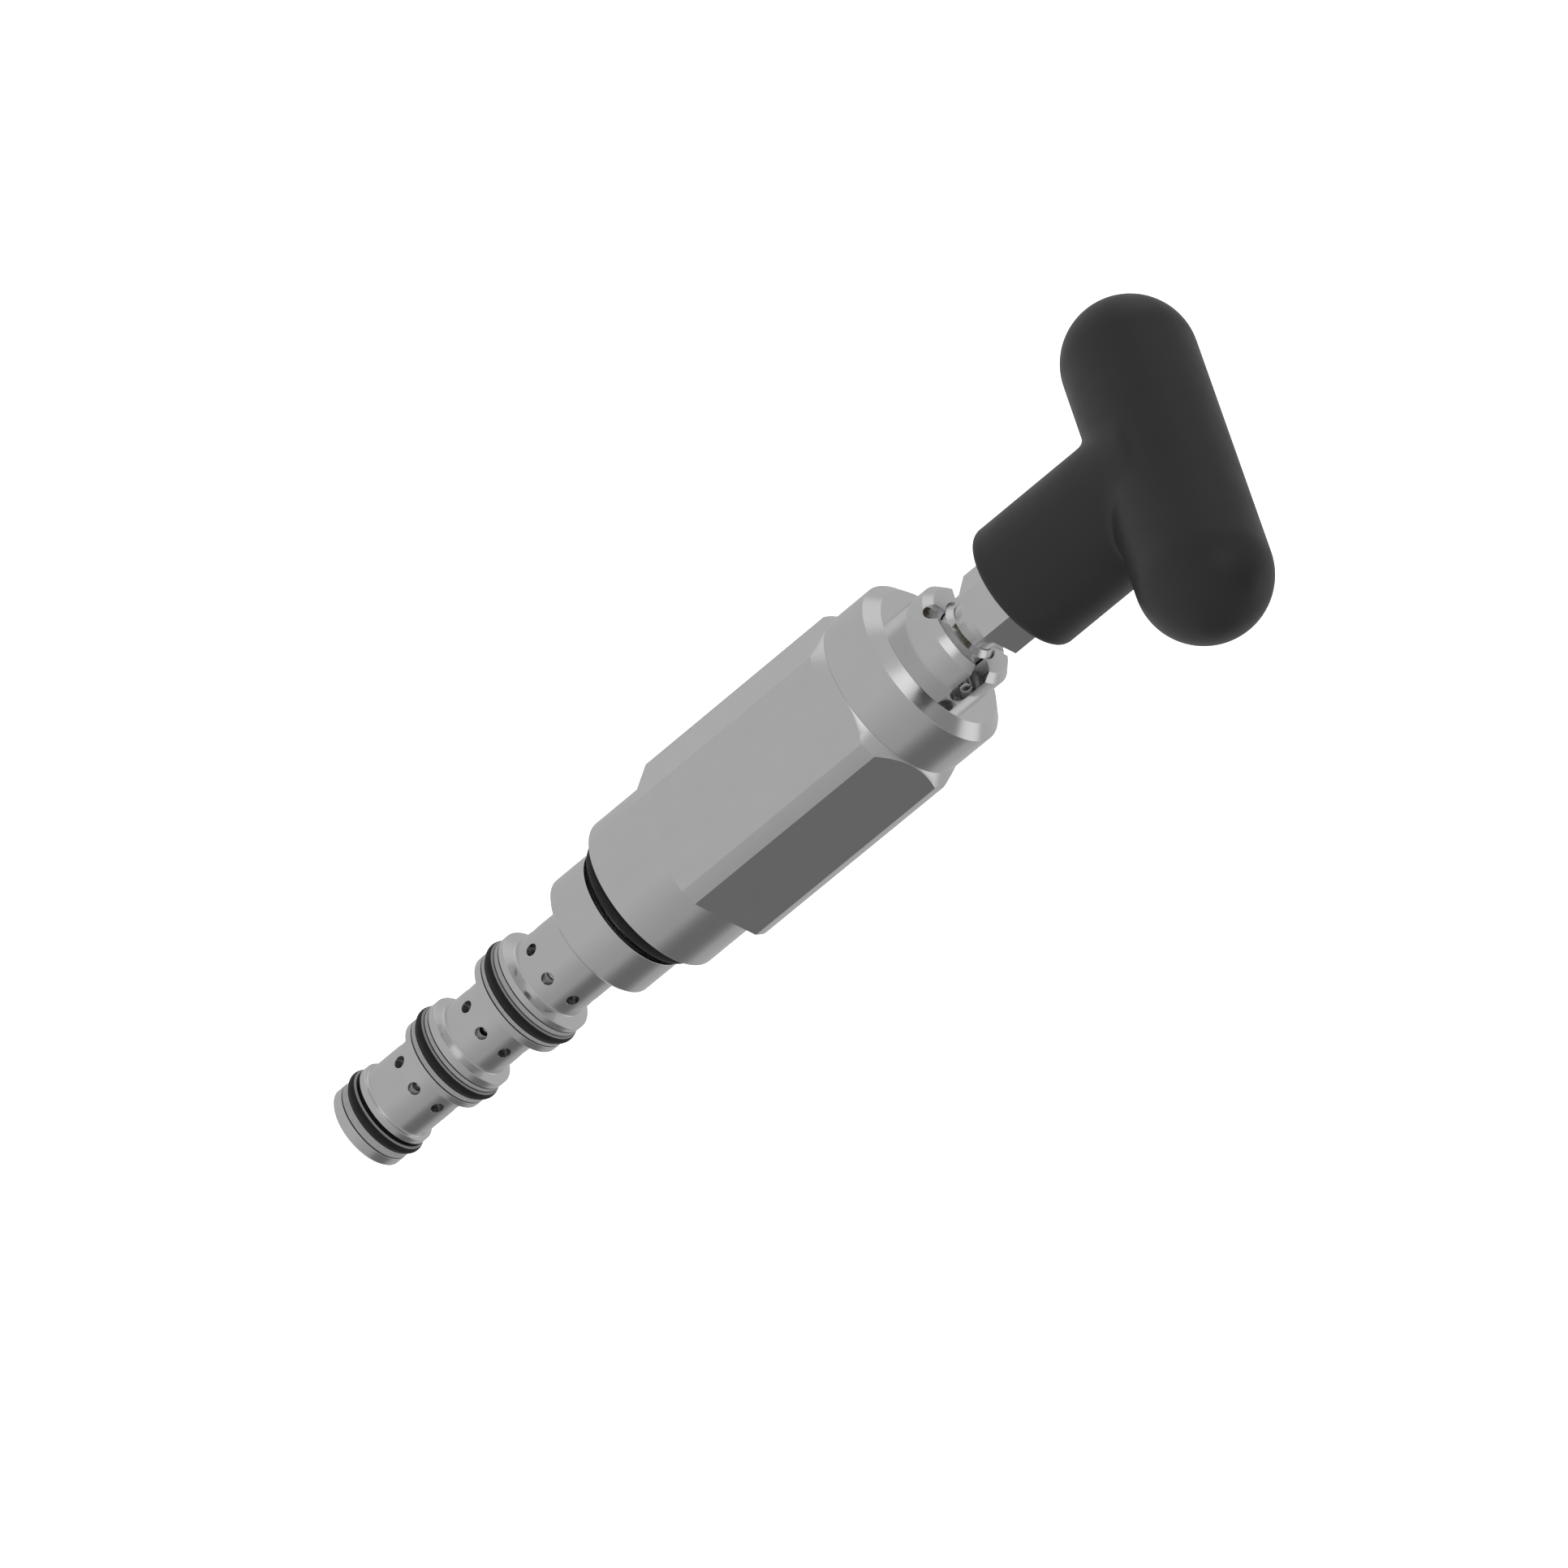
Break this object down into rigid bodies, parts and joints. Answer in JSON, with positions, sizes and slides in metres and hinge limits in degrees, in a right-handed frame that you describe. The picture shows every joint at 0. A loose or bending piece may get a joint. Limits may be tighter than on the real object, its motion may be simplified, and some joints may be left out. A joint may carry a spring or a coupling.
{
  "type": "cartridge valve",
  "caption": "Manual push-pull spool cartridge valve with a ported sleeve, sealing rings, hexagon body, slotted detent cap, roll pin and black T-handle on a spring-returned stem.",
  "frame": {"origin": "on the valve axis, in the plane of the collar's seating face, where the cartridge meets the manifold", "axes": "+Z along the valve axis towards the handle; +X along the handle bar and the roll pin; +Y completes the right-handed frame"},
  "size_m": [0.056, 0.028, 0.1624],
  "materials": {
    "steel": "smooth ground steel, semi-gloss",
    "plated_steel": "bright zinc-plated steel, semi-gloss",
    "rubber": "smooth moulded nitrile, satin",
    "ring_plastic": "smooth grey filled plastic, satin",
    "spring_steel": "drawn spring steel, semi-gloss",
    "bronze": "machined bearing bronze, satin",
    "brass": "machined brass, satin",
    "handle_plastic": "smooth moulded black plastic, semi-gloss"
  },
  "bodies": {
    "cartridge": {"sleeve": "steel", "upper_spring_seat": "steel", "hex_body": "plated_steel", "detent_cap": "plated_steel", "land_o_ring_1": "rubber", "land_o_ring_2": "rubber", "land_o_ring_3": "rubber", "shoulder_o_ring": "rubber", "cap_o_ring": "rubber", "stem_o_ring": "rubber", "backup_ring_1": "ring_plastic", "backup_ring_2": "ring_plastic", "backup_ring_3": "ring_plastic", "backup_ring_4": "ring_plastic", "backup_ring_5": "ring_plastic", "stem_backup_ring": "ring_plastic", "return_spring": "spring_steel", "bushing_retaining_ring": "spring_steel", "sleeve_lock_ring": "spring_steel", "guide_bushing": "bronze"},
    "slider": {"spool": "steel", "coupling_pin": "spring_steel", "stem": "plated_steel", "seat_clip": "spring_steel", "stop_sleeve": "steel", "lower_spring_seat": "steel", "roll_pin": "spring_steel", "jam_nut": "plated_steel", "t_handle": "handle_plastic", "handle_insert": "brass"}
  },
  "joints": [
    {"name": "handle_pull", "type": "slide", "parent": "cartridge", "child": "slider", "axis": [0, 0, 1], "range_m": [0, 0.0048], "stiffness_N_per_m": 4000, "springref_m": -0.01, "deforming": ["return_spring"]}
  ]
}
